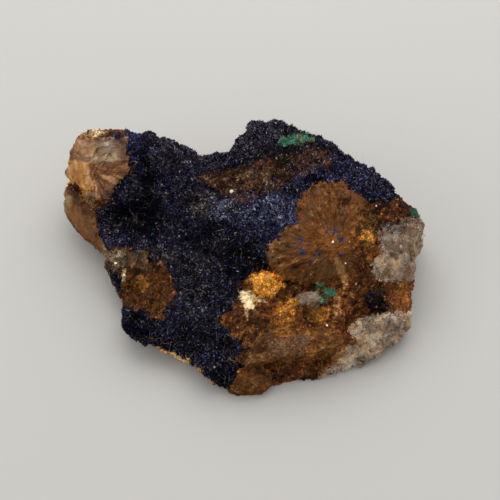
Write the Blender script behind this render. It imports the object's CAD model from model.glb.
"""Azurite specimen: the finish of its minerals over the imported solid, with its crust of small crystals.

The solid's surface is remeshed finely into one skin, which is tinted and roughened mineral by mineral.
Azurite, malachite and limonite grains, clear quartz and a few fibres are meshes that stand on it. Lengths
are in millimetres until a mesh is made.
"""

import math
from collections import namedtuple

import bmesh
import bpy
import numpy as np
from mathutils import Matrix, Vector

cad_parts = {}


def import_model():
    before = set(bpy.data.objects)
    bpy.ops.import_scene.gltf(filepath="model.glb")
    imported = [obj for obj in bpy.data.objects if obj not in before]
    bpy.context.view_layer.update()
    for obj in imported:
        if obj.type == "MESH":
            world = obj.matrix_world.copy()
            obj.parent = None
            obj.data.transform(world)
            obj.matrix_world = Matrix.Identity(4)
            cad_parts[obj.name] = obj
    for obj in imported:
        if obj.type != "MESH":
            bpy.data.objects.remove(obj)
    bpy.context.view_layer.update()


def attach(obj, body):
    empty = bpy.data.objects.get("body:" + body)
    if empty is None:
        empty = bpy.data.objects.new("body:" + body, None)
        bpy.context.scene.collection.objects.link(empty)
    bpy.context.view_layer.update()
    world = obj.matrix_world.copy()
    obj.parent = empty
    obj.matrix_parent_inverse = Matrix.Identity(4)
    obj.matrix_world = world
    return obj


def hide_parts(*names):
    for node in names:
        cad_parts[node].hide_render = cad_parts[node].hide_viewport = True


MM = 0.001
SEED = 11

# The camera, which is also what the mineral boundaries below are drawn from: (across, up) is a place in
# the plane through VIEW_CENTRE, square to the line of sight.
VIEW_TILT = 52.0
VIEW_DISTANCE = 420.0
VIEW_CENTRE = np.array((2.35, -2.5, 15.0))
VIEW_WIDTH = 139.3  # what the frame takes in at that plane
SENSOR = 36.0

SKIN_VOXEL = 0.47
BASE_BAND = 0.25  # the skin's faces below this are the flat base
TOP_MARGIN = 0.1  # the raised skin stays this far below the solid's top
NORMAL_ROUNDS = 12  # of smoothing, for the broad run of the surface
CRUST_SPLITS = (-17, 8)  # where the crust's three pieces meet

# How many there are of each small thing.
CRUST_BLADES = 9000  # in each of the crust's three pieces
CRUST_POINTS = 25000
GLINTS = 1200
ROCK_GRAINS = 11500
SPLINTERS = 200
TUFTS = 1500
FLAKES = 12
BEAD_CHIPS = 12  # that one round bead is made of
FIBRES = 1200

TALLEST_CRYSTAL = 0.95
LONGEST_FIBRE = 3.2
FIBRE_MARGIN = 2.5  # no fibre starts this near the solid's top
FIBRE_RINGS = 6
FIBRE_SIDES = 3

AZURITE_IOR = 1.73
QUARTZ_IOR = 1.54

FLOOR_SIZE = 8.0  # in metres
FLOOR_COLOUR = (0.45, 0.438, 0.413, 1)
WORLD_COLOUR = (0.97, 0.98, 1, 1)
WORLD_STRENGTH = 0.8
# The soft lights: name, watts, width, place, target and colour, with lengths in metres.
LIGHTS = (
    ("sky", 6.4, 1.7, (0.05, 0.56, 0.66), (0, 0, 0), (0.97, 0.985, 1)),
    ("key", 0.8, 0.5, (0.02, 0.26, 0.4), (0, 0, 0.01), (1, 0.98, 0.95)),
    ("fill", 3.2, 1, (-1, -0.45, 0.5), (-0.03, 0, 0.01), (1, 0.985, 0.96)),
)

# Mineral boundaries on the side seen from the front.
CRUST = (
    (-34, 37), (-34.6, 32), (-34.6, 29), (-34.2, 26.5), (-34.6, 23.7), (-34.2, 21.5), (-35, 19.3),
    (-37.4, 17.2), (-39, 14.6), (-42, 11.5), (-43, 8), (-42, 4.5), (-40, 1), (-35, 1), (-29.5, -0.5),
    (-25, -3), (-22.5, -6.5), (-21.5, -11), (-22, -15), (-24, -18.5), (-27.5, -18.5), (-31, -17), (-35, -15),
    (-38, -18.5), (-37, -26), (-28.5, -28),
    (-25, -26.8), (-19.5, -29.2), (-14, -33.2), (-8, -40), (-4.5, -37), (-2, -33), (-4, -30.5), (-1, -28),
    (-3.5, -24.5), (-7, -22.5), (-9, -19.5), (-6, -17), (-3.5, -14.5), (-2.5, -11), (-5, -9), (-1, -7.5),
    (4, -5), (4.5, -1), (6, 2.5), (10, 5.5), (13.5, 8), (13, 12.5), (14.5, 16), (16.5, 18), (21, 20.5),
    (26.5, 19.5), (30, 16.5), (33.5, 13.5), (38, 13), (43, 16), (36, 28), (20, 40), (-4, 41), (-10, 30),
    (-18.5, 34),
)
STREAK = (
    (-14.5, 20.5), (-11.5, 22), (-6, 22), (-0.5, 23.5), (6.5, 25.5), (13.5, 27.5), (20, 28), (24, 26.5),
    (22, 24), (17, 22), (11, 19.5), (6.5, 17.5), (2.5, 16), (-2.5, 14), (-6, 16), (-10.5, 18.5),
)
CRUST_NODULE = ((-39.5, -5.6), (-36.8, -6.2), (-36, -9), (-36.2, -11.8), (-39.5, -12))
BLUE_GREY_PATCH = ((-10, 16), (-4, 15), (1, 13.5), (0, 10), (-4, 9), (-9, 11))
LEFT_CRYSTAL = (
    (-53, 31), (-47.5, 34), (-40, 36), (-32.5, 35), (-33, 28), (-32.5, 24), (-33, 19.5), (-36, 17),
    (-39.5, 14.5), (-42.5, 12.5), (-45.5, 13.6), (-49, 18.6), (-53, 20),
)
LEFT_CRYSTAL_TOP = (
    (-47.8, 29.4), (-46.2, 31), (-41.8, 30.8), (-38.2, 29.6), (-36.8, 26.5), (-37.1, 24.5), (-41.8, 24.2),
    (-45.1, 24.2), (-47.6, 25),
)
LEFT_CRYSTAL_SIDE = ((-52, 24.6), (-47.4, 24.9), (-45.1, 24.2), (-44.8, 13), (-49, 17), (-53, 20))
LEFT_CRYSTAL_RED = ((-52, 31), (-49.4, 30), (-47.7, 29.4), (-47.6, 25), (-52, 24.6))
LEFT_CRYSTAL_CORNER = ((-38.2, 30), (-33, 30), (-33, 24), (-37.1, 24.4), (-36.8, 26.5))
LOWER_LEFT = (
    (-54, 19), (-49, 18.4), (-45.3, 13.8), (-42, 11.5), (-43, 8), (-42, 4.5), (-39.5, 0.5), (-37.8, -4),
    (-42, -3), (-50, 2), (-55, 11),
)
LEFT_WALL = (
    (-42, 2), (-35, 1), (-29.5, -0.5), (-25, -3), (-22.5, -6.5), (-21.5, -11), (-22, -15), (-24, -18.5),
    (-31, -17), (-37, -15), (-42, -8),
)
LEFT_PALE = ((-40, -0.5), (-37.5, 0), (-35.5, -2), (-35.5, -5), (-38.5, -7.5), (-40.5, -5))
TAN_EDGE = ((-29, -25.6), (-25, -26.8), (-19.5, -29.2), (-14, -33.2), (-16, -35), (-23, -32), (-30, -28))
LENS = (
    (4, -0.5), (5.5, 1.8), (9.5, 5), (13, 6.5), (13.5, 11.5), (14.5, 16), (17, 17.8), (22, 19.5), (26.5, 18),
    (31, 16), (32.5, 13.5), (30, 9), (28.6, 5), (29.2, 0), (30, -4), (27.5, -8), (22, -9.3), (17, -9.8),
    (12, -8.4), (8, -6), (4.5, -4),
)
KNOB = ((0.5, -7.5), (3, -6), (8, -6.2), (10, -8.6), (9.4, -11.5), (5.5, -13.4), (2, -12.4), (0, -10.5))
WHITE = (
    (-3.2, -11.6), (-0.8, -10.9), (0.3, -12.6), (1.7, -12.8), (4.2, -13.8), (5.6, -14.5), (3.3, -14.5),
    (1.3, -14.2), (1.4, -15.4), (1.1, -17.5), (-0.6, -17.2), (-0.8, -18.9), (-1.5, -17.3), (-1.1, -14.8),
    (-1.9, -13.9), (-3.1, -13.2),
)
RIGHT_UPPER = (
    (36.5, 5.5), (41.5, 9), (50, 9), (50, -0.5), (46, -4), (46, -8.2), (40, -9), (35, -6.8), (34, -4),
    (37, -1), (36.5, 2.5),
)
RIGHT_LOWER = (
    (30, -19), (34.5, -17.4), (40, -17), (47, -17), (47, -22.5), (40, -28), (33, -33), (24, -37),
    (19, -36), (22, -33), (24, -30.5), (29, -26), (28, -22),
)
RIGHT_DARK = (
    (31.8, -12.6), (33.8, -11.2), (36.8, -11.8), (38.8, -14.4), (37.4, -16.8), (34, -16.4), (32, -14.8),
)
RIGHT_BROWN = ((37.6, -8.4), (44.6, -8.1), (44.6, -17.5), (39.5, -17.5))
LOWER_SLAB = (
    (-1, -28), (2, -24.5), (6.5, -22), (13.5, -21.5), (20.5, -22), (27.5, -24), (28.5, -26), (24, -29),
    (19, -31), (13.5, -32), (6.5, -32.6), (-0.5, -32.8),
)
MIDDLE_CRYSTAL = ((13.2, -13), (15, -11), (19, -11.4), (20.4, -14.4), (17.4, -16.4), (14, -15.6))
# Where minerals fade on the back: from each first number to the second, across or, for a foot, in height.
BACK_CRUST_LEFT = (-34, -31)
BACK_CRUST_RIGHT = (36, 39)
BACK_CRUST_FOOT = (20, 22)
BACK_CRYSTAL = (-35, -34)
BACK_CRYSTAL_FOOT = (8, 9)
BACK_LOWER = (-40, -38.5)
BACK_LOWER_FOOT = (0.5, 1.5)

GREEN_CREST = ((7.6, 30.4), (10.4, 32.2), (14.5, 32.4), (18.2, 31), (17, 29.8), (13, 29.8), (9.5, 29.3))
GREEN_CRACK = (
    (17.6, -9.4), (19.6, -9), (20.6, -10.4), (22.4, -10.8), (23.6, -11.4), (23.4, -12.6), (20.6, -12.4),
    (20, -11.6), (18.2, -11.2),
)
GREEN_SPOT = ((20, -13.4), (21.8, -13), (22.2, -14.2), (20.4, -14.8))
GREEN_EDGE = ((44.8, 11.6), (46.8, 11), (46.6, 8.6), (45, 9.2))
TOE = ((-8, -41), (-4.5, -37), (-2, -33.4), (3, -33), (7.5, -34.5), (7, -38), (4, -42), (-2, -43))

# Ridges and, with a height below 0, furrows: (line, width, height).
RIDGES = (
    (((-42, 11.4), (-40.8, 5), (-39.6, 1.4), (-34, 0.8), (-30, 0)), 1.8, 0.7),
    (((-14, 22), (-6, 23.8), (2, 26.2), (10, 28.6)), 1.3, 0.7),
    (((-8, 18.6), (-3, 20.4), (4, 22.4), (9, 23)), 1.2, 0.8),
    (((-3, 9.6), (2, 11.4), (8, 11)), 1.3, 0.6),
    (((-6, 7.5), (1, 6.5), (5, 3.5)), 2.2, -1.2),
    (((2.5, -4.4), (6, -6.8), (9, -8.9), (13, -10.2), (18, -10.4)), 0.9, -1.6),
    (((-0.3, -32.8), (5, -32.2), (9.8, -31.2), (15.3, -29.5)), 0.7, -0.7),
    (((-33.4, 30.4), (-31, 30.6), (-28, 31)), 3.2, 2.2),
    (((-25.5, 32.5), (-23, 32)), 2.5, -0.9),
    (((-15.5, 33), (-14, 27), (-12.5, 24)), 1.2, -0.8),
)

TAN_STRIP = ((24.4, -2.6), (25.2, -5.5), (26.6, -9))
LEFT_SEAM = ((-45.5, 13.6), (-42.5, 12.4), (-39.5, 14.5), (-36, 17))  # the dark foot of the left crystal
LENS_HEART = (23.7, 0.6)  # where the fibres of the lens start from
LEFT_HEART = (-44.6, 23)  # and those of the left crystal

# Single small marks, as (across, up, radius).
SOOTY_DOT = (40.4, -1.4, 2)
BLUE_DOTS = (
    (14.1, 2.9, 0.9), (13.9, 1.5, 0.7), (14.2, -0.9, 1), (18.5, -1.1, 1), (16.4, -3.4, 0.8), (25.1, 3.1, 1.1),
    (25.3, -1.1, 0.9), (24, 5.4, 0.6), (22, 4.8, 0.6),
)
WHITE_DOTS = ((-5, 16.2, 0.6), (22.9, 1.9, 0.35), (35.2, 12.5, 0.25), (21.4, -21, 0.35), (26.5, -3.4, 0.25))

# How mineral edges wander: the size and reach of each wave.
EDGE_WANDER = ((2.6, 0.9), (0.9, 0.45), (0.45, 0.25))

# Parts of the crust that are bluer, blacker or dustier: (colour, across, up, half width, half height, share).
CRUST_ZONES = (
    ("azurite_blue", 5, 9.2, 11, 7, 1),
    ("azurite_blue", 24, 20.9, 14, 6, 0.7),
    ("azurite_blue", -14, 26, 17, 7, 0.3),
    ("azurite_blue", -32.3, 30.6, 6, 4, 0.6),
    ("azurite_blue", -36.8, 2, 7, 3, 0.3),
    ("azurite_blue", -21.7, -13, 3.5, 11, 0.5),
    ("azurite_blue", 4.2, 32, 12, 6, 0.4),
    ("azurite_blue", -12.5, -18, 6, 6, 0.3),
    ("azurite_pale", -5, 12.2, 7, 4, 0.9),
    ("azurite_dust", -25, -0.8, 7, 3, 0.35),
    ("azurite_dust", -13, 13, 4.5, 3.8, 0.65),
    ("azurite_dust", -14, -3.3, 9, 5.5, 0.22),
    ("azurite_dust", -18, 27, 12, 6, 0.25),
    ("azurite_dust", 6, 30, 15, 8, 0.35),
    ("azurite_dust", -16, -16, 9, 9, 0.15),
    ("azurite_black", 35.3, -14, 4, 4, 0.8),
    ("azurite_black", -30, 9.7, 11, 6.5, 0.92),
    ("azurite_black", -28.4, 19, 3, 5, 0.7),
    ("azurite_black", -2.8, -1.4, 8, 7, 0.6),
    ("azurite_black", -16, -24, 9, 8, 0.5),
    ("azurite_pale", 7, 11.5, 12, 6, 0.3),
    ("azurite_black", -31, -21, 8, 7, 0.65),
    ("azurite_black", -7, -37, 9, 5, 0.6),
)

# Parts of the bare rock that have a colour of their own, in the same form.
ROCK_ZONES = (
    ("limonite_light", 23.7, 2.5, 7, 4, 0.55),
    ("olive", 21, -6, 6, 3, 0.4),
    ("olive", 6.5, 0, 3, 6, 0.35),
    ("olive", 33.5, 6, 4, 6, 0.5),
    ("limonite_light", 31, 8, 3, 3, 0.4),
    ("ochre", 11, -17, 4.5, 4, 0.38),
    ("ochre", 19.5, -17.5, 4, 2.6, 0.4),
    ("ochre", 9, -21, 4, 2.4, 0.35),
    ("limonite_dark", 0.6, -22, 6.5, 6.5, 0.6),
    ("quartz_grey", 7.8, -27.4, 3.4, 2.6, 0.6),
    ("quartz_grey", 14, -26.6, 3.4, 3, 0.55),
    ("ochre", 18.4, -29.4, 4, 2.2, 0.35),
    ("tan", 24, -28, 4.5, 3, 0.6),
    ("tan", 2.5, -30.4, 5, 2, 0.75),
    ("soot", 17, -15.4, 3, 1.4, 0.7),
    ("limonite_red", 27, -23.7, 2.6, 3.6, 0.7),
    ("limonite_dark", 12, -34.3, 14, 2.8, 0.3),
    ("limonite_light", 2, -37.5, 7, 3.5, 0.3),
    ("limonite", 41, -13, 4.6, 5.5, 0.6),
    ("limonite_light", 43.5, -12, 2.6, 5, 0.3),
    ("limonite_dark", 32, -10.6, 6.5, 4.5, 0.7),
    ("soot", 40, 12.6, 9, 4.5, 0.75),
    ("ochre", 35, 0, 4, 4, 0.15),
    ("ochre", 32.6, 3.8, 1.8, 1.5, 0.6),
    ("limonite_dark", 33, -4.5, 4.5, 4.5, 0.7),
    ("tan", 24.2, -15.6, 1.2, 3.4, 0.7),
    ("olive", -28, -2.5, 7, 3.6, 0.8),
    ("quartz_grey", -31.5, -2.5, 4, 3, 0.35),
    ("ochre", -30, -9.2, 3, 2.8, 0.45),
    ("quartz_clear", -36.8, -2, 2.6, 2.6, 0.7),
    ("cream", -35.4, -7, 1.3, 1.9, 0.9),
    ("olive", -14, 21, 4, 2.5, 0.6),
    ("olive", 2, 21.5, 10, 1.2, 0.5),
)
STREAK_ZONES = ROCK_ZONES[-2:]

# And of the stained top of the left crystal, its faces, the crystal under it, and the quartz on the right.
CAP_ZONES = (
    ("cream", -42.6, 32.8, 2.6, 1.1, 0.65),
    ("quartz_pink", -45, 31.2, 3, 1.6, 0.6),
    ("limonite_dark", -36.5, 32.6, 3, 1.2, 0.5),
    ("azurite_spot", -37, 30.8, 5.5, 1.6, 0.95),
)
LEFT_ZONES = (
    ("quartz_pink", -45.5, 28.2, 3, 3, 0.8),
    ("quartz_grey", -40.6, 28, 2.4, 2.4, 0.7),
    ("cream", -43.4, 26.6, 1.4, 2.2, 0.65),
    ("cream", -39.3, 25.4, 2.4, 1.1, 0.5),
    ("frost", -39.4, 29.2, 1.6, 0.8, 0.6),
    ("limonite_red", -48.8, 22, 1.4, 3, 0.4),
    ("soot", -42.2, 20.4, 0.9, 0.9, 0.8),
    ("soot", -51.5, 21.8, 1.3, 2.6, 0.9),
    ("azurite_spot", -39, 30.4, 6, 1, 0.7),
)
LOWER_LEFT_ZONES = (
    ("quartz_brown", -45.5, 13.6, 6, 4, 1),
    ("quartz_brown", -43.8, 9.5, 3.6, 6, 0.9),
    ("limonite_dark", -47.5, 16, 4.5, 1.8, 0.9),
    ("soot", -49.5, 18, 2.6, 1.6, 0.7),
    ("cream", -51.6, 13.5, 1.8, 3.5, 0.6),
    ("cream", -40, -0.5, 2.5, 3, 0.5),
    ("tan", -47, 6, 4, 5, 0.4),
)
RIGHT_ZONES = (
    ("quartz_grey", 40, 1.8, 4, 3.4, 0.6),
    ("quartz_brown", 40.5, 7, 7.5, 3.2, 1),
    ("quartz_brown", 35.6, 2.5, 2.4, 4.5, 0.7),
    ("tan", 46, 7, 2.6, 3.2, 0.8),
    ("cream", 45.4, 2, 1.8, 3.6, 0.6),
    ("frost", 43, -2.9, 2, 1.8, 0.7),
    ("tan", 43.3, -6.6, 1.8, 2.4, 0.6),
    ("frost", 35.2, -6.3, 2, 1.8, 0.7),
    ("quartz_grey", 32, -21.2, 4, 2.6, 0.6),
    ("frost", 35.1, -24.6, 3.4, 2, 0.5),
    ("olive", 34, -30.4, 4.5, 1.8, 0.6),
)


def srgb(red, green, blue):
    """A colour given in display values of 0 to 255, as linear values."""
    share = np.array((red, green, blue)) / 255
    return np.where(share <= 0.04045, share / 12.92, ((share + 0.055) / 1.055) ** 2.4)


COLOURS = {
    "azurite_black": srgb(2, 2, 6),
    "azurite_navy": srgb(22, 23, 42),
    "azurite_blue": srgb(66, 67, 108),
    "azurite_dust": srgb(106, 98, 84),
    "azurite_pale": srgb(118, 120, 158),
    "azurite_spot": srgb(42, 44, 70),
    "dusty_brown": srgb(104, 78, 64),
    "soot": srgb(18, 11, 7),
    "limonite_dark": srgb(50, 28, 13),
    "limonite": srgb(98, 59, 27),
    "limonite_light": srgb(146, 90, 38),
    "limonite_red": srgb(106, 54, 26),
    "olive": srgb(74, 60, 38),
    "ochre": srgb(202, 138, 52),
    "tan": srgb(180, 132, 80),
    "cream": srgb(238, 212, 162),
    "frost": srgb(246, 234, 214),
    "quartz_grey": srgb(150, 124, 98),
    "quartz_clear": srgb(214, 188, 150),
    "quartz_pink": srgb(206, 152, 102),
    "quartz_orange": srgb(232, 160, 60),
    "quartz_brown": srgb(102, 59, 24),
    "left_crystal": srgb(204, 132, 60),
    "lower_left": srgb(168, 104, 52),
    "right_upper": srgb(246, 203, 154),
    "right_lower": srgb(248, 206, 156),
    "middle": srgb(156, 122, 84),
    "malachite": srgb(50, 112, 80),
    "turquoise": srgb(96, 156, 136),
}

# The clear quartz: its name, how deep it is over the rock, how clear it is, how strongly it reflects and how
# uneven its colour is.
QUARTZ = (
    ("left_crystal", 2.0, 0.28, 0.22, 0.22),
    ("lower_left", 1.6, 0.12, 0.05, 0.22),
    ("right_upper", 1.8, 0.75, 0.55, 0.35),
    ("right_lower", 1.2, 0.65, 0.55, 0.4),
    ("middle", 0.8, 0.4, 0.4, 0.3),
)
CLEAR_QUARTZ = tuple(name for name, *_ in QUARTZ)
LEFT_FACES = ("left_top", "left_side", "left_red", "left_corner")  # all but the front one


# --- numbers that vary over space ---


def hashed(keys, seed):
    """An even random number from 0 to 1 for each key (…, 3) of whole numbers."""
    keys = keys.astype(np.int64)
    mixed = keys[..., 0] * 73856093 ^ keys[..., 1] * 19349663 ^ keys[..., 2] * 83492791 ^ seed * 2654435761
    mixed = (mixed ^ (mixed >> 13)) * 1274126177
    mixed = (mixed ^ (mixed >> 16)) * 668265263
    return ((mixed ^ (mixed >> 15)) & 0xFFFFFF) / 0x1000000


def waves(points, size, seed):
    """Smooth noise from -1 to 1, with waves of about this size."""
    position = points / size
    cell = np.floor(position)
    share = position - cell
    share = share * share * (3 - 2 * share)
    total = np.zeros(len(points))
    for corner in np.ndindex(2, 2, 2):
        weight = np.prod(np.where(corner, share, 1 - share), axis=1)
        total += weight * hashed(cell + corner, seed)
    return 2 * total - 1


def rough_waves(points, size, seed, octaves=3):
    """Waves on waves, each half the size and height of the last."""
    total = np.zeros(len(points))
    for octave in range(octaves):
        total += waves(points, size / 2**octave, seed + octave) / 2**octave
    return total / (2 - 2 ** (1 - octaves))


def cells(points, size, seed):
    """Irregular cells of about this size. For each point: its offset from the nearest cell's centre, how much
    further the next centre is, and the cell's key, with lengths in cell sizes."""
    position = points / size
    home = np.floor(position)
    nearest = np.full(len(points), 9.0)
    second = np.full(len(points), 9.0)
    offset = np.zeros((len(points), 3))
    key = np.zeros((len(points), 3))
    for step in np.ndindex(3, 3, 3):
        cell = home + np.array(step) - 1
        away = position - cell - np.stack([hashed(cell, seed + axis) for axis in range(3)], axis=1)
        distance = np.linalg.norm(away, axis=1)
        closer = distance < nearest
        second = np.where(closer, nearest, np.minimum(second, distance))
        key[closer] = cell[closer]
        offset[closer] = away[closer]
        nearest = np.minimum(nearest, distance)
    return offset, second - nearest, key


Chips = namedtuple("Chips", "height shade gap")


def chips(points, size, seed):
    """Broken facets of about this size: their height and their shade, both from -1 to 1, and their gaps."""
    offset, gap, key = cells(points, size, seed)
    tilt = np.stack([hashed(key, seed + 7 + axis) for axis in range(3)], axis=1) * 2 - 1
    height = (offset * tilt).sum(axis=1) + 0.5 * hashed(key, seed + 11) - 0.25
    return Chips(height, 2 * hashed(key, seed + 12) - 1, gap)


def unit(vectors):
    return vectors / np.linalg.norm(vectors, axis=1)[:, None]


def ease(value, low, high):
    """0 below low, 1 above high, and smooth between them."""
    share = np.clip((value - low) / (high - low), 0, 1)
    return share * share * (3 - 2 * share)


# --- the plane that the boundaries are drawn in ---

TILT = math.radians(VIEW_TILT)
FORWARD = np.array((0, math.cos(TILT), -math.sin(TILT)))
UP = np.array((0, math.sin(TILT), math.cos(TILT)))
EYE = VIEW_CENTRE - FORWARD * VIEW_DISTANCE


def seen_at(points):
    """Where points (n, 3) are seen, as (across, up)."""
    away = points - EYE
    scale = VIEW_DISTANCE / (away @ FORWARD)
    return np.column_stack([away[:, 0] * scale, (away @ UP) * scale])


def distance_to_line(places, line):
    line = np.array(line, float)
    nearest = np.full(len(places), np.inf)
    for start, end in zip(line[:-1], line[1:]):
        along = end - start
        share = np.clip((places - start) @ along / (along @ along), 0, 1)
        nearest = np.minimum(nearest, np.linalg.norm(places - start - share[:, None] * along, axis=1))
    return nearest


def depth_inside(places, outline):
    """Distance to a closed outline, positive inside it."""
    loop = outline + outline[:1]
    inside = np.zeros(len(places), bool)
    for (x0, y0), (x1, y1) in zip(loop[:-1], loop[1:]):
        if y0 != y1:
            spans = (places[:, 1] > min(y0, y1)) & (places[:, 1] <= max(y0, y1))
            inside ^= spans & (places[:, 0] < x0 + (places[:, 1] - y0) * (x1 - x0) / (y1 - y0))
    return np.where(inside, 1, -1) * distance_to_line(places, loop)


# --- meshes ---


def read(items, name, width, kind=np.float32):
    """One property of every item of a mesh, as rows of this width."""
    values = np.empty(len(items) * width, kind)
    items.foreach_get(name, values)
    return values.reshape(-1, width)


def mesh_arrays(mesh):
    """The mesh's points, in millimetres, and their normals."""
    points = read(mesh.vertices, "co", 3).astype(float) / MM
    return points, read(mesh.vertex_normals, "vector", 3).astype(float)


def set_points(mesh, points):
    mesh.vertices.foreach_set("co", (points * MM).astype(np.float32).ravel())
    mesh.update()


def set_tint(mesh, tint, gloss):
    """Stores each point's colour, and its roughness in the fourth value."""
    attribute = mesh.color_attributes.new("tint", "FLOAT_COLOR", "POINT")
    values = np.column_stack([tint, gloss])
    attribute.data.foreach_set("color", values.astype(np.float32).ravel())


def set_fibres(mesh, along, fibrous):
    """Stores where each point is among the fibres of its mineral, and how fibrous it is."""
    place = mesh.attributes.new("along_fibres", "FLOAT_VECTOR", "POINT")
    place.data.foreach_set("vector", along.astype(np.float32).ravel())
    amount = mesh.attributes.new("fibrous", "FLOAT", "POINT")
    amount.data.foreach_set("value", fibrous.astype(np.float32))


def new_object(name, data):
    obj = bpy.data.objects.new(name, data)
    bpy.context.scene.collection.objects.link(obj)
    return obj


def piece_from(name, points, faces, material):
    """A mesh object from points in millimetres and faces of four or three corners."""
    mesh = bpy.data.meshes.new(name)
    mesh.from_pydata((points * MM).tolist(), [], faces)
    mesh.materials.append(material)
    return new_object(name, mesh)


def smoothed(values, edges, rounds):
    """Rows of values on points, averaged along the edges this many times."""
    links = np.bincount(edges.ravel(), minlength=len(values))
    for _ in range(rounds):
        total = np.zeros_like(values)
        np.add.at(total, edges[:, 0], values[edges[:, 1]])
        np.add.at(total, edges[:, 1], values[edges[:, 0]])
        values = (values + total) / (1 + links)[:, None]
    return values


# --- the skin ---


def fine_skin(node):
    """The solid's surface, remeshed finely, with its base as one flat face."""
    skin = new_object("rock_skin", node.data.copy())
    remesh = skin.modifiers.new("fine", "REMESH")
    remesh.mode = "VOXEL"
    remesh.voxel_size = SKIN_VOXEL * MM
    bpy.context.view_layer.update()
    graph = bpy.context.evaluated_depsgraph_get()
    fine = bpy.data.meshes.new_from_object(skin.evaluated_get(graph))
    skin.modifiers.clear()
    skin.data = fine
    bm = bmesh.new()
    bm.from_mesh(fine)
    base = [face for face in bm.faces if max(vert.co.z for vert in face.verts) < BASE_BAND * MM]
    bmesh.ops.delete(bm, geom=base, context="FACES")
    rim = [edge for edge in bm.edges if edge.is_boundary]
    for edge in rim:
        for vert in edge.verts:
            vert.co.z = 0
    bmesh.ops.contextual_create(bm, geom=rim)
    bm.to_mesh(fine)
    bm.free()
    fine.materials.clear()
    return skin


class Surface:
    """The skin's points with everything that the minerals are told apart by."""

    def __init__(self, mesh):
        self.points, self.normals = mesh_arrays(mesh)
        self.quads = np.array([face.vertices[:] for face in mesh.polygons if len(face.vertices) == 4])
        edges = read(mesh.edges, "vertices", 2, np.int32)
        self.broad_normals = unit(smoothed(self.normals, edges, NORMAL_ROUNDS))
        self.seen = seen_at(self.points)
        self.straight = self.seen.copy()
        for number, (size, reach) in enumerate(EDGE_WANDER):
            for axis in (0, 1):
                self.seen[:, axis] += reach * waves(self.points, size, 100 + 10 * number + axis)
        self.front = ease(-self.broad_normals @ FORWARD, -0.12, 0.02)
        self.view = np.column_stack([self.points[:, 0], self.points @ UP, self.points @ FORWARD])
        self.fibres = chips(self.rays(LENS_HEART, 74, 3.4), 1, 41)
        self.columns = chips(self.view * (1, 0.35, 1), 2.6, 46)
        self.steps = chips(self.view * (1, 0.6, 1), 1.3, 48)
        self.broken = chips(self.points, 2.4, 51)

    def inside(self, outline, fade=0.6, ragged=0.0):
        """How far each point is inside an outline on the front side, from 0 to 1."""
        depth = depth_inside(self.seen, outline)
        if ragged:
            depth += ragged * rough_waves(self.points, 1.8, 150)
        return self.front * ease(depth, -fade / 2, fade / 2)

    def near(self, line, width):
        """1 on a line on the front side, falling to 0 at this distance from it."""
        return self.front * (1 - ease(distance_to_line(self.seen, line), 0.2 * width, width))

    def dot(self, across, up, radius):
        away = np.linalg.norm(self.seen - (across, up), axis=1)
        return self.front * (1 - ease(away, 0.7 * radius, radius))

    def rays(self, centre, count, length):
        """Where points are among rays that leave a centre: fine across the rays and long along them."""
        away = 0.65 * self.straight + 0.35 * self.seen - centre
        distance = np.linalg.norm(away, axis=1)
        turn = (np.arctan2(away[:, 1], away[:, 0]) + 0.8) % math.tau * count / math.tau
        return np.column_stack([turn, distance / length, self.view[:, 2] / length])


def most(share, names):
    """The largest of these shares at each point."""
    return np.max([share[name] for name in names], axis=0)


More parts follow.
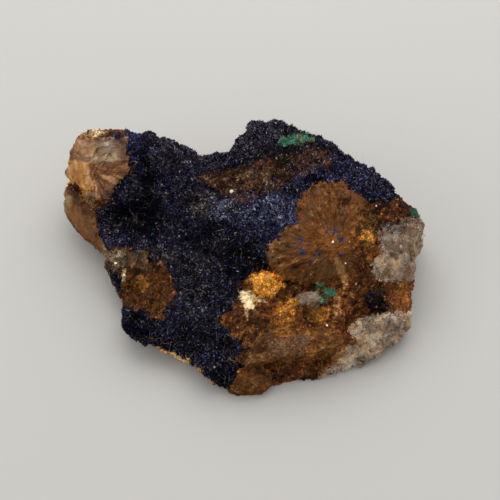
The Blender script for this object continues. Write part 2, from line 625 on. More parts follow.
def mineral_shares(s):
    """The share of each mineral at each point of the surface, from 0 to 1."""
    p = s.points
    outlines = {
        "streak": (STREAK, 2.4),
        "left_crystal": (LEFT_CRYSTAL,),
        "left_top": (LEFT_CRYSTAL_TOP, 0.7),
        "left_side": (LEFT_CRYSTAL_SIDE, 0.7),
        "left_red": (LEFT_CRYSTAL_RED, 0.7),
        "left_corner": (LEFT_CRYSTAL_CORNER, 0.7),
        "lower_left": (LOWER_LEFT,),
        "left_wall": (LEFT_WALL, 1.2, 1.5),
        "left_pale": (LEFT_PALE,),
        "blue_grey": (BLUE_GREY_PATCH, 1.5),
        "tan_edge": (TAN_EDGE,),
        "lens": (LENS, 2.0),
        "knob": (KNOB, 0.6, 0.8),
        "white": (WHITE, 0.4),
        "middle": (MIDDLE_CRYSTAL, 0.4),
        "slab": (LOWER_SLAB, 1.6),
        "toe": (TOE,),
        "right_upper": (RIGHT_UPPER, 0.8, 1.5),
        "right_lower": (RIGHT_LOWER, 0.8, 1.5),
        "right_dark": (RIGHT_DARK, 1.0),
        "right_brown": (RIGHT_BROWN, 2.0),
    }
    share = {name: s.inside(*outline) for name, outline in outlines.items()}
    share["left_front"] = s.front - most(share, LEFT_FACES)
    green = [s.inside(outline, 0.4) for outline in (GREEN_CREST, GREEN_CRACK, GREEN_SPOT, GREEN_EDGE)]
    share["malachite"] = np.max(green, axis=0)

    behind = 1 - s.front
    crust_behind = behind * ease(p[:, 2] + 3 * rough_waves(p, 8, 5), *BACK_CRUST_FOOT)
    crust_behind = crust_behind * ease(p[:, 0], *BACK_CRUST_LEFT) * (1 - ease(p[:, 0], *BACK_CRUST_RIGHT))
    covered = (1 - share["streak"]) * (1 - share["malachite"])
    crust = np.max([s.inside(CRUST, 0.6, 1.6), s.inside(CRUST_NODULE), crust_behind], axis=0)
    share["crust"] = crust * covered
    free = 1 - share["crust"]

    across = p[:, 0] + 1.5 * waves(p, 4, 9)
    high = ease(p[:, 2], *BACK_CRYSTAL_FOOT)
    crystal_behind = behind * (1 - ease(across, *BACK_CRYSTAL)) * high
    lower_behind = behind * (1 - ease(across, *BACK_LOWER)) * (1 - high) * ease(p[:, 2], *BACK_LOWER_FOOT)
    share["left_crystal"] = np.maximum(share["left_crystal"], crystal_behind)
    share["lower_left"] = np.maximum(share["lower_left"], lower_behind)
    for name in CLEAR_QUARTZ + ("lens", "slab", "toe"):
        share[name] *= free
    share["lower_left"] *= 1 - share["left_crystal"]
    up = s.seen[:, 1] + 0.9 * rough_waves(p, 2.2, 274)
    share["cap"] = s.front * share["left_crystal"] * ease(up, 30.6, 31.2)
    share["left_crystal"] *= 1 - share["cap"]
    share["quartz"] = most(share, CLEAR_QUARTZ)
    return share


def relief(s, share):
    """How far each point of the skin moves out along its normal, in millimetres."""
    p = s.points
    clear = np.maximum(share["left_crystal"], share["lower_left"])
    calm = most(share, ("lens", "right_upper", "right_lower", "slab", "toe", "middle", "right_brown"))
    bare = (1 - share["crust"]) * (1 - clear) * (1 - 0.85 * calm) * (1 - share["white"])
    coarse = chips(p, 2.6, 20).height
    fine = chips(p, 1.1, 24).height
    lift = bare * (0.5 * coarse + 0.35 * fine + 0.25 * rough_waves(p, 1.4, 21))
    lift -= bare * 0.9 * ease(rough_waves(p, 1.9, 31), 0.15, 0.5)
    lift += share["crust"] * crust_relief(s)
    lift += share["streak"] * 0.5 * rough_waves(p, 1.2, 33)

    ripples = rough_waves(s.rays(LENS_HEART, 46, 7), 1, 44)
    broad = chips(s.view, 5.2, 47).height
    lift += share["lens"] * (0.22 * s.fibres.height + 0.3 * ripples + 0.5 * broad)
    lift += share["right_upper"] * (1.2 * s.columns.height + 0.35 * s.steps.height)
    blocky = share["right_lower"] + 0.35 * share["slab"] + 0.4 * share["toe"]
    lift += blocky * (0.9 * s.broken.height + 0.4 * s.steps.height)
    facets = chips(p, 4.2, 61).height
    dents = chips(p, 2.1, 66).height
    lift -= 0.6 * share["lower_left"]
    lift += clear * (0.7 * facets + 0.35 * dents + 0.12 * rough_waves(p, 2.4, 71) - 0.15)
    lift += share["malachite"] * 0.3 + share["knob"] * 0.2 * fine
    for line, width, height in RIDGES:
        lift += height * s.near(line, width)
    return lift


def grounded(s, points, top=np.inf):
    """Points kept between the ground and this height, and those of the base on the ground."""
    height = np.clip(points[:, 2], 0, top)
    return np.column_stack([points[:, :2], np.where(s.points[:, 2] < BASE_BAND, 0, height)])


def crust_relief(s):
    """The lumps that the crust of small crystals grows in."""
    big, _, _ = cells(s.points, 3.1, 81)
    small, _, _ = cells(s.points, 1.3, 86)
    lumps = np.clip(1 - 1.5 * (big**2).sum(axis=1), 0, 1)
    knobs = np.clip(1 - 1.5 * (small**2).sum(axis=1), 0, 1)
    hollows = ease(rough_waves(s.points, 4.5, 91, 2), 0, 0.6)
    return 1.2 * (lumps - 0.85) + 0.5 * (knobs - 0.7) - 0.9 * hollows


class Paint:
    """Colour and roughness at each point, laid on mineral by mineral."""

    def __init__(self, surface, colour, gloss):
        self.s = surface
        self.tint = np.tile(COLOURS[colour], (len(surface.points), 1))
        self.gloss = np.full(len(surface.points), float(gloss))

    def lay(self, colour, share, gloss=None):
        share = np.clip(share, 0, 1)
        self.tint += share[:, None] * (COLOURS[colour] - self.tint)
        if gloss is not None:
            self.gloss += share * (gloss - self.gloss)

    def ramp(self, level, share, colours):
        """Lays a row of colours along a level that runs from 0 to 1."""
        steps = np.array([COLOURS[name] for name in colours])
        place = np.clip(level, 0, 1) * (len(steps) - 1)
        colour = np.stack([np.interp(place, range(len(steps)), steps[:, axis]) for axis in range(3)], axis=1)
        self.tint += share[:, None] * (colour - self.tint)

    def zones(self, zones, share):
        """Lays soft-edged parts, broken up by noise."""
        s = self.s
        for number, (colour, across, up, half_width, half_height, strength) in enumerate(zones):
            away = np.linalg.norm((s.seen - (across, up)) / (half_width, half_height), axis=1)
            broken = 0.45 * rough_waves(s.points, 1.8, 500 + number, 3)
            speckle = 0.35 + 0.65 * ease(rough_waves(s.points, 1, 540 + number, 2), -0.35, 0.15)
            self.lay(colour, strength * share * s.front * speckle * (1 - ease(away + broken, 0.5, 1.15)))

    def blue_marks(self):
        """Lays the single small blue marks."""
        for mark in BLUE_DOTS:
            self.lay("azurite_spot", 0.9 * self.s.dot(*mark), 0.6)

    def shade(self, amount):
        """Brightens or darkens by a number from about -1 to 1 at each point."""
        self.tint *= np.exp(amount)[:, None]

    def spots(self, size, seed, cover, soft=0.25):
        """Irregular spots of about this size, over about this share of the surface."""
        level = rough_waves(self.s.points, size, seed)
        edge = 0.55 * (1 - 2 * cover)
        return ease(level, edge - soft / 2, edge + soft / 2)


def rock_paint(s, share):
    """The colour and roughness of the rock, which is also what shows through the clear quartz."""
    p = s.points
    paint = Paint(s, "limonite", 0.8)
    lay, ramp, shade, spots = paint.lay, paint.ramp, paint.shade, paint.spots
    level = 0.42 + 0.28 * rough_waves(p, 6, 201) + 0.3 * rough_waves(p, 2.2, 202)
    level += 0.3 * rough_waves(p, 0.9, 203)
    ramp(level, np.ones(len(p)), ("soot", "limonite_dark", "limonite", "limonite_light", "tan"))
    lay("limonite_red", 0.5 * spots(4, 204, 0.3, 0.6))

    wall = share["left_wall"]
    ramp(level + 0.05, 0.9 * wall, ("soot", "limonite_dark", "limonite", "limonite", "limonite_light"))

    lens = share["lens"]
    fine = rough_waves(s.rays(LENS_HEART, 120, 3), 1, 225)
    fibre_level = 0.36 + 0.2 * s.fibres.shade + 0.4 * fine + 0.4 * rough_waves(p, 4, 221)
    ramp(fibre_level, lens, ("limonite_dark", "quartz_brown", "quartz_brown", "limonite", "limonite_light"))
    lay("olive", 0.5 * lens * spots(3, 232, 0.3, 0.5))
    lay("tan", 0.4 * lens * ease(fine, 0.25, 0.6))
    corner = (1 - ease(s.seen[:, 0], 11, 15)) * ease(s.seen[:, 1], -7, -3)
    lay("tan", 0.5 * lens * ease(fine, 0.1, 0.5) * corner)
    lay("limonite_dark", 0.3 * lens * (1 - ease(s.fibres.gap, 0, 0.12)))
    lay("tan", 0.8 * s.near(TAN_STRIP, 1.3))
    paint.gloss -= 0.4 * lens * ease(rough_waves(p, 1.8, 226), -0.3, 0.3)

    slab = np.maximum(share["slab"], share["toe"])
    slab_level = level + 0.15 + 0.15 * s.broken.shade
    ramp(slab_level, slab, ("limonite_dark", "quartz_brown", "limonite", "limonite_light", "tan"))
    paint.gloss -= 0.4 * slab * ease(rough_waves(p, 1.8, 227), -0.3, 0.3)
    paint.zones(ROCK_ZONES, 1 - share["crust"])
    slab_shade = slab * (0.5 * rough_waves(p, 1, 228) - 0.2) - 0.75 * share["toe"] - 0.3 * share["slab"]
    shade(slab_shade + lens * (0.25 * rough_waves(p, 1, 229) - 0.12))
    rough = (1 - share["crust"]) * (1 - slab) * (1 - lens) * (1 - 0.85 * share["quartz"])
    shade(rough * (1.1 * rough_waves(p, 1, 230, 2) + 0.1) - 0.55 * wall)
    lay("limonite_dark", 0.6 * slab * (1 - ease(s.broken.gap, 0, 0.1)))

    ramp(0.6 + 0.6 * rough_waves(p, 1.1, 231), share["knob"], ("limonite", "ochre", "ochre", "tan"))
    lay("tan", 0.9 * share["tan_edge"], 0.5)
    lay("cream", 0.5 * share["tan_edge"] * spots(2, 245, 0.5, 0.5))

    for name in ("right_upper", "right_lower"):
        quartz = share[name]
        quartz_level = 0.5 + 0.5 * rough_waves(p, 4, 250) + 0.15 * rough_waves(p, 1.2, 251)
        ramp(quartz_level, quartz, ("limonite_dark", "quartz_grey", "quartz_clear", "frost"))
        lay("limonite_light", 0.5 * quartz * spots(2.6, 252, 0.25, 0.5))
        lay("soot", 0.8 * quartz * spots(1.2, 253, 0.08, 0.2))
    paint.zones(RIGHT_ZONES, share["right_upper"] + share["right_lower"])
    ramp(level, share["middle"], ("soot", "quartz_grey", "frost"))

    streak = share["streak"]
    streak_level = level + 0.15 * rough_waves(p, 0.7, 261)
    ramp(streak_level, streak, ("azurite_black", "soot", "limonite_dark", "dusty_brown", "tan"))
    paint.zones(STREAK_ZONES, streak)
    shade(streak)

    crystal, lower = share["left_crystal"], share["lower_left"]
    lay("quartz_brown", crystal, 0.5)
    side = np.maximum(s.inside(LEFT_CRYSTAL_SIDE, 1.5), 1 - s.front)
    lay("quartz_orange", crystal * (0.15 + 0.65 * side))
    lay("quartz_pink", 0.7 * s.inside(LEFT_CRYSTAL_TOP, 1.0) * crystal)
    lay("limonite_dark", lower, 0.5)
    lay("limonite_light", 0.8 * lower * ease(-s.seen[:, 0] - 0.8 * s.seen[:, 1], 34, 39))
    for glass in (crystal, lower):
        lay("limonite_dark", 0.9 * ease(glass, 0.02, 0.2) * (1 - ease(glass, 0.5, 0.9)))
    ramp(level + 0.1, share["cap"], ("limonite_dark", "quartz_brown", "dusty_brown", "tan"))
    paint.zones(CAP_ZONES, share["cap"])

    lay("azurite_black", share["crust"], 0.7)
    lay("soot", 0.8 * share["right_dark"], 0.7)
    lay("cream", share["white"] * spots(1.5, 413, 0.75, 0.4), 0.8)
    lay("tan", 0.8 * share["white"] * ease(rough_waves(s.view * (1, 0.3, 1), 0.9, 414), 0.15, 0.35))
    lay("malachite", 0.8 * share["malachite"] * spots(1.6, 411, 0.75, 0.4), 0.8)
    paint.blue_marks()
    return paint


def quartz_paint(s, share):
    """The faint colour and the roughness of the clear quartz."""
    p = s.points
    paint = Paint(s, "quartz_clear", 0.14)
    lay, shade, spots = paint.lay, paint.shade, paint.spots
    for name in CLEAR_QUARTZ:
        lay(name, ease(share[name], 0, 0.1))

    crystal = share["left_crystal"]
    front = crystal * share["left_front"]
    top, side, red, corner = (share[name] * crystal for name in LEFT_FACES)
    streaks = rough_waves(s.rays(LEFT_HEART, 100, 5), 1, 305)
    upright = rough_waves(s.view * (1, 0.25, 1), 1.3, 306)
    lay("quartz_brown", 0.75 * front)
    lay("quartz_pink", 0.9 * front * ease(streaks, 0.05, 0.4))
    shade(0.6 * front * streaks)
    lay("quartz_orange", 0.7 * side)
    lay("cream", 0.6 * side * ease(upright, 0, 0.5))
    shade(0.35 * side * upright)
    lay("limonite_red", 0.85 * red)
    lay("limonite_dark", 0.75 * corner)
    lay("tan", 0.6 * corner * spots(1.4, 314, 0.2, 0.3))
    lay("quartz_pink", 0.9 * top, 0.25)
    shade(-0.8 * top - 0.4 * corner)
    paint.zones(LEFT_ZONES, crystal)
    shade(-0.4 * top)
    lay("limonite_dark", 0.6 * s.near(LEFT_SEAM, 3) * crystal)

    lower = share["lower_left"]
    shade(0.4 * lower * rough_waves(p, 1.5, 311))
    lay("quartz_orange", 0.25 * lower * spots(3, 313, 0.35, 0.5))
    paint.zones(LOWER_LEFT_ZONES, lower)
    back = np.maximum(crystal, lower) * (1 - s.front)
    lay("quartz_brown", 0.7 * back * spots(3.5, 320, 0.5, 0.5))
    lay("quartz_clear", 0.5 * back * spots(2.2, 321, 0.2, 0.3))
    shade(-0.9 * lower - 0.25 * side - 0.2 * front - 0.5 * crystal * (1 - s.front))

    grimy = share["right_upper"] + share["right_lower"]
    lay("quartz_grey", 0.8 * grimy * spots(3, 312, 0.45, 0.5))
    lay("quartz_brown", 0.4 * grimy * spots(3.4, 318, 0.25, 0.4))
    shade(grimy * (0.6 * s.columns.shade + 0.4 * s.steps.shade + 0.2 * rough_waves(p, 2, 315) - 0.12))
    edge = np.where(share["right_upper"] > 0.5, s.columns.gap, s.broken.gap)
    lay("frost", 0.75 * grimy * (1 - ease(edge, 0.03, 0.14)) * spots(3, 316, 0.6, 0.5), 0.3)
    lay("frost", 0.95 * grimy * spots(1.7, 302, 0.2, 0.15), 0.3)
    paint.zones(RIGHT_ZONES, grimy)
    lay("limonite", 0.35 * grimy * spots(2.4, 307, 0.2, 0.3), 0.5)
    lay("soot", 0.85 * grimy * spots(1, 306, 0.06, 0.1), 0.7)
    lay("soot", 0.8 * grimy * s.dot(*SOOTY_DOT) * spots(0.9, 317, 0.45, 0.2), 0.7)

    lay("frost", 0.4 * share["middle"] * (1 - ease(s.broken.gap, 0.02, 0.1)), 0.3)
    shade(share["middle"] * (0.5 * s.steps.shade - 0.4))
    paint.gloss += 0.15 * ease(rough_waves(p, 1.5, 304), -0.1, 0.5)
    paint.blue_marks()
    return paint


# --- clear quartz ---


def quartz_depth(share):
    """How deep the rock lies under clear quartz, at each point of the skin."""
    return np.max([depth * ease(share[name], 0.3, 1) for name, depth, *_ in QUARTZ], axis=0)


def quartz_piece(name, s, crest, share, depth, paint, material):
    """Clear quartz over part of the skin: a closed body, which the surface of the rock runs inside."""
    faces = s.quads[(share[name][s.quads] > 0.05).all(axis=1)]
    used, faces = np.unique(faces, return_inverse=True)
    faces = faces.reshape(-1, 4)
    covered = share[name][used]
    normals = s.broad_normals[used]
    top = crest[used] - normals * (0.4 * (1 - ease(covered, 0.05, 0.4)))[:, None]
    bottom = top - normals * (0.5 + (depth + 0.4) * ease(covered, 0.05, 1))[:, None]
    bottom[:, 2] = np.maximum(bottom[:, 2], 0.05)
    count = len(used)
    start, end = faces.ravel(), np.roll(faces, -1, axis=1).ravel()
    rim = ~np.isin(end * count + start, start * count + end)
    sides = np.column_stack([end[rim], start[rim], start[rim] + count, end[rim] + count])
    every_face = np.concatenate([faces, faces[:, ::-1] + count, sides])
    piece = piece_from("quartz_" + name, np.concatenate([top, bottom]), every_face.tolist(), material)
    set_tint(piece.data, np.tile(paint.tint[used], (2, 1)), np.tile(paint.gloss[used], 2))
    fibres = s.rays(LEFT_HEART, 60, 3)[used]
    set_fibres(piece.data, np.tile(fibres, (2, 1)), np.tile(share["left_front"][used], 2))
    return piece


# --- grains ---

# Forms of grain: their corners as (side, other side, up), and their faces.
BLADE = (
    np.array([(-1, -1, -0.7), (1, -1, -0.7), (1, 1, -0.7), (-1, 1, -0.7), (0, -0.6, 1.3), (0, 0.6, 1.3)]) / 2,
    [(0, 3, 2, 1), (0, 1, 4), (1, 2, 5, 4), (2, 3, 5), (3, 0, 4, 5)],
)
POINT = (
    np.array([(-0.6, -0.35, -0.5), (0.6, -0.35, -0.5), (0, 0.7, -0.5), (0, 0, 0.9)]),
    [(0, 2, 1), (0, 1, 3), (1, 2, 3), (2, 0, 3)],
)
SQUARE = ((-1, -1), (1, -1), (1, 1), (-1, 1))
CHIP = (
    np.array([(x * width, y * width, z) for z, width in ((-1, 1), (1, 0.75)) for x, y in SQUARE]) / 2,
    [(0, 3, 2, 1), (4, 5, 6, 7), (0, 1, 5, 4), (1, 2, 6, 5), (2, 3, 7, 6), (3, 0, 4, 7)],
)


def scattered(mesh, weight, count, rng):
    """Random places on the mesh, in proportion to a weight on its points: place, normal and a near point."""
    mesh.calc_loop_triangles()
    corners = read(mesh.loop_triangles, "vertices", 3, np.int32)
    points, normals = mesh_arrays(mesh)
    a, b, c = (points[corners[:, i]] for i in range(3))
    area = np.linalg.norm(np.cross(b - a, c - a), axis=1) / 2
    chance = area * weight[corners].mean(axis=1)
    chosen = rng.choice(len(corners), count, p=chance / chance.sum())
    u, v = rng.random((2, count))
    over = u + v > 1
    u[over], v[over] = 1 - u[over], 1 - v[over]
    place = a[chosen] + u[:, None] * (b - a)[chosen] + v[:, None] * (c - a)[chosen]
    normal = normals[corners[chosen]].mean(axis=1)
    return place, unit(normal), corners[chosen, 0]


def leaning(normal, reach, rng):
    """Directions that lean from the normals at random."""
    return normal + reach * rng.normal(size=normal.shape)


def repeated(faces, corners, count):
    """The faces of this many copies of a form, which has this many corners."""
    return [tuple(corner + corners * n for corner in face) for n in range(count) for face in faces]


def grain_arrays(form, place, direction, size, jitter, tint, gloss, rng):
    """The points, faces, tints and roughness of small crystals of one form, which stand on their places. Size
    is (side, other side, up) for each."""
    corners, faces = form
    direction = unit(direction)
    side = unit(np.cross(direction, unit(rng.normal(size=place.shape))))
    other = np.cross(direction, side)
    local = corners[None] * size[:, None, :]
    points = place[:, None] + np.einsum("nkc,ncx->nkx", local, np.stack([side, other, direction], axis=1))
    points += rng.normal(size=points.shape) * (jitter * size.mean(axis=1))[:, None, None]
    total = len(corners)
    every_face = repeated(faces, total, len(place))
    return points.reshape(-1, 3), every_face, np.repeat(tint, total, axis=0), np.repeat(gloss, total)


def thread_arrays(place, direction, length, width, tint, rng):
    """The same of fine bent threads, each a tapered tube."""
    direction = unit(direction)
    bend = rng.normal(size=place.shape) * 0.5
    rings = []
    spot = place - direction * 0.1
    for ring in range(FIBRE_RINGS):
        heading = unit(direction + bend * ring / 2)
        side = unit(np.cross(heading, bend))
        other = np.cross(heading, side)
        thin = width * (1 - 0.8 * ring / (FIBRE_RINGS - 1))
        for turn in np.arange(FIBRE_SIDES) * math.tau / FIBRE_SIDES:
            rings.append(spot + (side * math.cos(turn) + other * math.sin(turn)) * thin[:, None])
        spot = spot + heading * (length / (FIBRE_RINGS - 1))[:, None]
    points = np.stack(rings, axis=1).reshape(-1, 3)
    total = FIBRE_SIDES * FIBRE_RINGS
    faces = [tuple(reversed(range(FIBRE_SIDES))), tuple(range(total - FIBRE_SIDES, total))]
    for ring in range(0, total - FIBRE_SIDES, FIBRE_SIDES):
        for i in range(FIBRE_SIDES):
            j = (i + 1) % FIBRE_SIDES
            faces.append((ring + i, ring + j, ring + FIBRE_SIDES + j, ring + FIBRE_SIDES + i))
    count = len(place)
    return points, repeated(faces, total, count), np.repeat(tint, total, axis=0), np.full(count * total, 0.5)


def grain_piece(name, parts, material):
    """One mesh of several sets of grains or threads."""
    points, part_faces, tint, gloss = zip(*parts)
    faces, start = [], 0
    for part, corners in zip(part_faces, points):
        faces += [tuple(corner + start for corner in face) for face in part]
        start += len(corners)
    piece = piece_from(name, np.concatenate(points), faces, material)
    set_tint(piece.data, np.concatenate(tint), np.concatenate(gloss))
    return piece


# --- materials ---


class Nodes:
    """Short names for building a material's nodes."""

    def __init__(self, name):
        self.material = bpy.data.materials.new(name)
        self.material.use_nodes = True
        self.tree = self.material.node_tree
        self.shader = self.tree.nodes["Principled BSDF"]

    def feed(self, node, inputs):
        """Sets a node's inputs to plain values, or links them to other nodes."""
        for name, value in inputs.items():
            if isinstance(value, bpy.types.NodeSocket):
                self.tree.links.new(value, node.inputs[name])
            else:
                node.inputs[name].default_value = value

    def add(self, kind, output, inputs, **settings):
        """Adds a node, and gives one of its outputs."""
        node = self.tree.nodes.new("ShaderNode" + kind)
        for name, value in settings.items():
            setattr(node, name, value)
        self.feed(node, inputs)
        return node.outputs[output]

    def attribute(self, name, output):
        return self.add("Attribute", output, {}, attribute_name=name)

    def noise(self, size, detail=3.0):
        """Noise with waves of this size in millimetres."""
        place = self.add("TexCoord", "Object", {})
        return self.add("TexNoise", "Fac", {"Vector": place, "Scale": 1 / (size * MM), "Detail": detail})

    def math(self, operation, first, second=0.0):
        return self.add("Math", "Value", {0: first, 1: second}, operation=operation)

    def spread(self, value, low, high, start=0.3, end=0.7):
        """The value from start to end brought to the range from low to high."""
        ends = {"From Min": start, "From Max": end, "To Min": low, "To Max": high}
        return self.add("MapRange", "Result", {"Value": value, **ends})


def mineral(name, size, low, high, specular, ior=1.5, transmission=0.0, bump=0.0, fibrous=False, veins=0.0):
    """A mineral whose colour and roughness are the mesh's tint, with grain and bump of its own. In a fibrous
    one the grain runs into fibres where the mesh says so. Veins are fine pale and dark lines."""
    n = Nodes(name)
    grain = n.spread(n.noise(size, 4), low, high)
    if veins:
        for apart, strength in ((1.3, veins), (0.9, -0.5 * veins)):
            line = n.math("ABSOLUTE", n.math("SUBTRACT", n.noise(apart, 2), 0.5))
            grain = n.math("MULTIPLY", grain, n.spread(line, 1 + strength, 1, 0, 0.045))
    if fibrous:
        place = n.attribute("along_fibres", "Vector")
        fibres = n.spread(n.add("TexNoise", "Fac", {"Vector": place, "Scale": 1, "Detail": 3}), 0.4, 1.6)
        share = n.attribute("fibrous", "Fac")
        grain = n.add("Mix", "Result", {"Factor": share, "A": grain, "B": fibres}, data_type="FLOAT")
    tint = n.attribute("tint", "Color")
    surface = {
        "Base Color": n.add("VectorMath", "Vector", {0: tint, "Scale": grain}, operation="SCALE"),
        "Roughness": n.attribute("tint", "Alpha"),
        "Specular IOR Level": specular,
        "IOR": ior,
        "Transmission Weight": transmission,
    }
    if bump:
        height = n.noise(size * 1.3, 5)
        surface["Normal"] = n.add("Bump", "Normal", {"Strength": 1, "Distance": bump * MM, "Height": height})
    n.feed(n.shader, surface)
    return n.material


# --- the scene ---


def aim(obj, target):
    obj.rotation_euler = (Vector(target) - obj.location).to_track_quat("-Z", "Y").to_euler()


def add_camera():
    camera = new_object("camera", bpy.data.cameras.new("camera"))
    camera.location = EYE * MM
    aim(camera, VIEW_CENTRE * MM)
    camera.data.sensor_width = SENSOR
    camera.data.lens = SENSOR * VIEW_DISTANCE / VIEW_WIDTH
    camera.data.clip_start = 0.01
    bpy.context.scene.camera = camera


def add_floor():
    bpy.ops.mesh.primitive_plane_add(size=FLOOR_SIZE, location=(0, 0, 0))
    floor = bpy.context.object
    floor.name = "floor"
    n = Nodes("paper")
    n.feed(n.shader, {"Base Color": FLOOR_COLOUR, "Roughness": 0.9, "Specular IOR Level": 0.1})
    floor.data.materials.append(n.material)


def add_lights():
    world = bpy.data.worlds.new("studio")
    bpy.context.scene.world = world
    world.use_nodes = True
    background = world.node_tree.nodes["Background"]
    background.inputs["Color"].default_value = WORLD_COLOUR
    background.inputs["Strength"].default_value = WORLD_STRENGTH
    for name, watts, width, place, target, colour in LIGHTS:
        light = bpy.data.lights.new(name, "AREA")
        light.shape = "DISK"
        light.size = width
        light.energy = watts
        light.color = colour
        lamp = new_object(name, light)
        lamp.location = place
        aim(lamp, target)
    bpy.context.scene.view_settings.view_transform = "Standard"


# --- the specimen's pieces ---


def crust_tint(s, share, seen, high, place, near, rng):
    """The colours of small crystals of the crust: lighter on its lumps, and near black in its hollows."""
    count = len(place)
    navy, blue, dust, black = (COLOURS["azurite_" + name] for name in ("navy", "blue", "dust", "black"))
    shade = rng.random(count)[:, None]
    patchy = 0.5 + 0.5 * rough_waves(place, 3, 401)[:, None]
    tint = black + shade * (navy - black)
    tint += np.clip(1.1 * shade**2 * patchy, 0, 1) * (blue - tint)
    streak = share["streak"][near]
    dusty = rng.random(count) < 0.06 + 0.1 * patchy[:, 0] + 0.15 * streak
    tint[dusty] = dust * rng.uniform(0.2, 0.9, dusty.sum())[:, None]
    brown = rng.random(count) < 0.04 + 0.12 * ease(rough_waves(place, 4, 402), 0.3, 0.6) + 0.4 * streak
    tint[brown] = COLOURS["dusty_brown"] * rng.uniform(0.3, 1, brown.sum())[:, None]
    for colour, across, up, half_width, half_height, strength in CRUST_ZONES:
        away = np.linalg.norm((seen[near] - (across, up)) / (half_width, half_height), axis=1)
        zone = strength * s.front[near] * (1 - ease(away, 0.4, 1.15)) * (0.5 + patchy[:, 0])
        if colour != "azurite_black":
            even = 0.7 if colour == "azurite_pale" else 0.25
            zone *= even + (1 - even) * shade[:, 0]
        tint += np.clip(zone, 0, 1)[:, None] * (COLOURS[colour] - tint)
    tint = tint * np.exp(rng.normal(-0.6, 0.9, count) + 0.7 * high[near] + 0.3 * streak)[:, None]
    return np.clip(tint, 0, 0.3)


def add_crust(skin, s, share, rng):
    """The crust of small azurite crystals, in three pieces from left to right: blades, and more points."""
    azurite = mineral("azurite", 0.3, 0.7, 1.4, 0.02, AZURITE_IOR)
    stain = share["cap"] * ease(s.seen[:, 0], -43, -37) * (1 - ease(s.seen[:, 1], 31.8, 32.6))
    weight = share["crust"] ** 2 + 0.4 * share["streak"] + 0.6 * share["right_dark"] + 0.5 * stain
    sides = np.digitize(s.points[:, 0], CRUST_SPLITS)
    seen = seen_at(s.points)
    high = np.clip(crust_relief(s) + 0.8, -1.5, 1.2)
    forms = ((BLADE, CRUST_BLADES, 0.62, 0.6), (POINT, CRUST_POINTS, 0.4, 0.8))
    for number, name in enumerate(("azurite_left", "azurite_middle", "azurite_right")):
        parts = []
        for form, count, typical, reach in forms:
            place, normal, near = scattered(skin.data, weight * (sides == number), count, rng)
            tint = crust_tint(s, share, seen, high, place, near, rng)
            height = np.minimum(rng.lognormal(math.log(typical), 0.3, count), TALLEST_CRYSTAL)
            height *= 1 - 0.4 * share["blue_grey"][near]
            width = height * rng.uniform(0.45, 0.8, count)
            size = np.column_stack([width, width * rng.uniform(0.4, 0.9, count), height])
            direction = leaning(normal, reach, rng)
            gloss = rng.uniform(0.3, 0.6, count)
            parts.append(grain_arrays(form, place, direction, size, 0.06, tint, gloss, rng))
        piece = grain_piece(name, parts, azurite)
        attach(piece, "root")


def add_glints(skin, s, share, rng):
    """The few crystals of the crust whose faces are clean and bright."""
    material = mineral("azurite_glints", 0.3, 0.7, 1.4, 0.6, AZURITE_IOR)
    weight = share["crust"] + 0.4 * share["streak"]
    place, normal, _ = scattered(skin.data, weight, GLINTS, rng)
    tint = COLOURS["azurite_navy"] * rng.uniform(0.3, 1.5, GLINTS)[:, None]
    height = rng.uniform(0.35, 0.7, GLINTS)
    size = np.column_stack([height * 0.8, height * 0.5, height])
    direction = leaning(normal, 0.5, rng)
    gloss = rng.uniform(0.06, 0.2, GLINTS)
    parts = [grain_arrays(BLADE, place + normal * 0.1, direction, size, 0.05, tint, gloss, rng)]
    piece = grain_piece("azurite_glints", parts, material)
    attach(piece, "root")


def add_broken_rock(skin, s, share, paint, rng):
    """Small grains of limonite and quartz over the bare rock."""
    material = mineral("limonite_grains", 0.3, 0.6, 1.4, 0.08)
    calm = {"tan_edge": 1, "lens": 0.85, "slab": 0.9, "toe": 0.8, "right_brown": 0.9, "knob": 0.5}
    smooth = most({name: amount * share[name] for name, amount in calm.items()}, calm)
    weight = (1 - share["crust"]) * (1 - share["quartz"]) * (1 - share["malachite"]) * (1 - smooth)
    weight *= (0.25 + 0.75 * s.front) * (1 + 1.5 * share["streak"] + share["left_wall"])
    weight *= (s.points[:, 2] > 1) * (1 - share["white"])
    count = ROCK_GRAINS
    place, normal, near = scattered(skin.data, weight, count, rng)
    tint = paint.tint[near] * rng.lognormal(0.05, 0.45, count)[:, None]
    coarse = share["streak"][near] + share["left_wall"][near] + share["knob"][near] <= 0.5
    pick = rng.random(count)
    tint[(pick < 0.07) & coarse] *= 0.35
    pale = (pick > 0.97) & coarse
    tint[pale] = COLOURS["tan"] * rng.uniform(0.5, 1, pale.sum())[:, None]
    height = rng.lognormal(math.log(0.44), 0.35, count)
    width = height * rng.uniform(0.7, 1.3, count)
    size = np.column_stack([width, height * rng.uniform(0.5, 1, count), height * 0.6])
    gloss = rng.uniform(0.3, 0.8, count)
    direction = leaning(normal, 0.6, rng)
    parts = [grain_arrays(CHIP, place, direction, size, 0.14, tint, gloss, rng)]
    piece = grain_piece("limonite_grains", parts, material)
    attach(piece, "root")


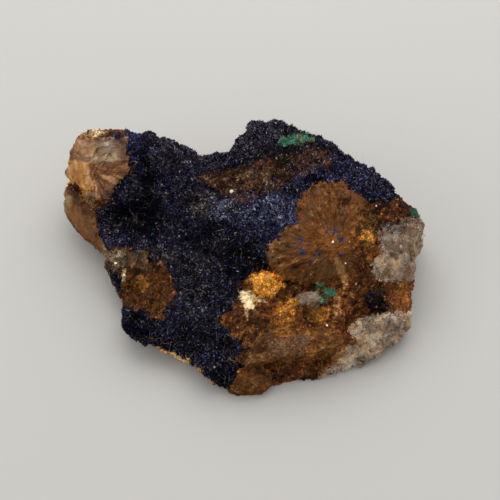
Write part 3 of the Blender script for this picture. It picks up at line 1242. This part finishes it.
def add_splinters(skin, s, share, paint, clear_paint, rng):
    """Small clear pieces of broken quartz: most in the pale rock at the left, and a few on the right."""
    material = mineral("quartz_splinters", 0.4, 0.8, 1.2, 0.4, QUARTZ_IOR, 0.6)
    right = np.maximum(share["right_upper"], share["right_lower"])
    weight = (share["left_pale"] + 0.02 * right) * (s.points[:, 2] > 1)
    place, normal, near = scattered(skin.data, weight, SPLINTERS, rng)
    place = place + normal * quartz_depth(share)[near][:, None]
    clear = right[near][:, None]
    tint = (1 - clear) * 1.3 * paint.tint[near] + clear * clear_paint.tint[near]
    tint = np.clip(tint * rng.lognormal(0, 0.35, SPLINTERS)[:, None], 0, 0.9)
    length = rng.lognormal(math.log(0.8), 0.4, SPLINTERS)
    size = np.column_stack([length, length * rng.uniform(0.5, 0.9, SPLINTERS), length * 0.35])
    gloss = rng.uniform(0.08, 0.3, SPLINTERS)
    direction = leaning(normal, 0.3, rng)
    parts = [grain_arrays(CHIP, place, direction, size, 0.2, tint, gloss, rng)]
    piece = grain_piece("quartz_splinters", parts, material)
    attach(piece, "root")


def add_malachite(skin, s, share, rng):
    """The velvety green tufts, which are darker at the right edge."""
    material = mineral("malachite", 0.3, 0.75, 1.3, 0.3)
    patchy = ease(rough_waves(s.points, 1.6, 411), -0.35, 0.1)
    place, normal, _ = scattered(skin.data, share["malachite"] ** 2 * patchy, TUFTS, rng)
    mix = rng.random(TUFTS)[:, None]
    tint = COLOURS["malachite"] + mix * (COLOURS["turquoise"] - COLOURS["malachite"])
    tint *= (rng.lognormal(0, 0.3, TUFTS) * (1 - 0.6 * ease(place[:, 0], 36, 40)))[:, None]
    height = rng.uniform(0.35, 0.8, TUFTS)
    size = np.column_stack([height * 0.35, height * 0.25, height])
    direction = leaning(normal, 0.6, rng)
    parts = [grain_arrays(BLADE, place, direction, size, 0.05, tint, np.full(TUFTS, 0.6), rng)]
    piece = grain_piece("malachite_tufts", parts, material)
    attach(piece, "root")


def add_flakes(skin, s, share, rng):
    """Thin pale flakes, and the few round white beads."""
    material = mineral("pale_flakes", 0.4, 0.85, 1.1, 0.4)
    place, normal, _ = scattered(skin.data, share["white"] ** 2, FLAKES, rng)
    tint = COLOURS["cream"] * rng.uniform(0.5, 1.05, FLAKES)[:, None]
    width = rng.uniform(0.6, 1.6, FLAKES)
    size = np.column_stack([width, width * 0.5, np.full(FLAKES, 0.2)])
    direction = leaning(normal, 0.3, rng)
    parts = [grain_arrays(CHIP, place + normal * 0.1, direction, size, 0.06, tint, np.full(FLAKES, 0.6), rng)]
    points, normals = mesh_arrays(skin.data)
    for across, up, radius in WHITE_DOTS:
        away = np.linalg.norm(seen_at(points) - (across, up), axis=1) + 9 * (1 - s.front)
        centre = points[away.argmin()] + 0.5 * radius * normals[away.argmin()]
        place = np.tile(centre, (BEAD_CHIPS, 1))
        size = np.full((BEAD_CHIPS, 3), 1.4 * radius) * (1, 1, 0.5)
        tint = np.tile(COLOURS["frost"], (BEAD_CHIPS, 1))
        turned = rng.normal(size=(BEAD_CHIPS, 3))
        parts.append(grain_arrays(CHIP, place, turned, size, 0, tint, np.full(BEAD_CHIPS, 0.3), rng))
    piece = grain_piece("pale_flakes", parts, material)
    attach(piece, "root")


def add_fibres(skin, s, share, rng):
    """The fine pale fibres that lie over the crust."""
    material = mineral("fibres", 0.5, 0.9, 1.1, 0.4)
    weight = s.front * (share["crust"] + 0.6 * share["streak"] + 0.5 * share["left_wall"])
    weight *= s.points[:, 2] < s.points[:, 2].max() - FIBRE_MARGIN
    place, normal, _ = scattered(skin.data, weight, FIBRES, rng)
    direction = leaning(0.45 * normal, 1, rng)
    length = np.minimum(rng.lognormal(math.log(2), 0.4, FIBRES), LONGEST_FIBRE)
    width = rng.uniform(0.02, 0.04, FIBRES)
    tint = COLOURS["azurite_dust"] * rng.lognormal(0.2, 0.5, FIBRES)[:, None]
    parts = [thread_arrays(place + normal * 0.3, direction, length, width, tint, rng)]
    piece = grain_piece("fibres", parts, material)
    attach(piece, "root")


def add_rock(skin, s, share, rock):
    """The skin as the rock's surface, which stands for the solid."""
    set_points(skin.data, rock)
    paint = rock_paint(s, share)
    set_tint(skin.data, paint.tint, paint.gloss)
    amounts = {"lens": 0.9, "slab": 0.2, "toe": 0.4, "white": 0.6}
    fibrous = most({name: amount * share[name] for name, amount in amounts.items()}, amounts)
    set_fibres(skin.data, s.rays(LENS_HEART, 160, 2.6), fibrous)
    material = mineral("limonite_and_quartz", 0.4, 0.5, 1.5, 0.08, bump=0.2, fibrous=True, veins=1.4)
    skin.data.materials.append(material)
    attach(skin, "root")
    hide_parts("azurite_specimen")
    return paint


def add_quartz(s, share, crest):
    """The clear quartz, as one piece for each crystal or group."""
    paint = quartz_paint(s, share)
    for name, depth, clear, specular, uneven in QUARTZ:
        grain = (0.5, 1 - uneven, 1 + uneven)
        fibrous = name == "left_crystal"
        material = mineral("quartz_" + name, *grain, specular, QUARTZ_IOR, clear, 0.12, fibrous)
        piece = quartz_piece(name, s, crest, share, depth, paint, material)
        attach(piece, "root")
    return paint


def main():
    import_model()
    rng = np.random.default_rng(SEED)
    skin = fine_skin(bpy.data.objects["azurite_specimen"])
    s = Surface(skin.data)
    share = mineral_shares(s)
    crest = grounded(s, s.points + s.normals * relief(s, share)[:, None], s.points[:, 2].max() - TOP_MARGIN)
    rock = grounded(s, crest - s.broad_normals * quartz_depth(share)[:, None])
    paint = add_rock(skin, s, share, rock)
    clear_paint = add_quartz(s, share, crest)
    add_crust(skin, s, share, rng)
    add_glints(skin, s, share, rng)
    add_broken_rock(skin, s, share, paint, rng)
    add_splinters(skin, s, share, paint, clear_paint, rng)
    add_malachite(skin, s, share, rng)
    add_flakes(skin, s, share, rng)
    add_fibres(skin, s, share, rng)
    add_camera()
    add_floor()
    add_lights()


main()
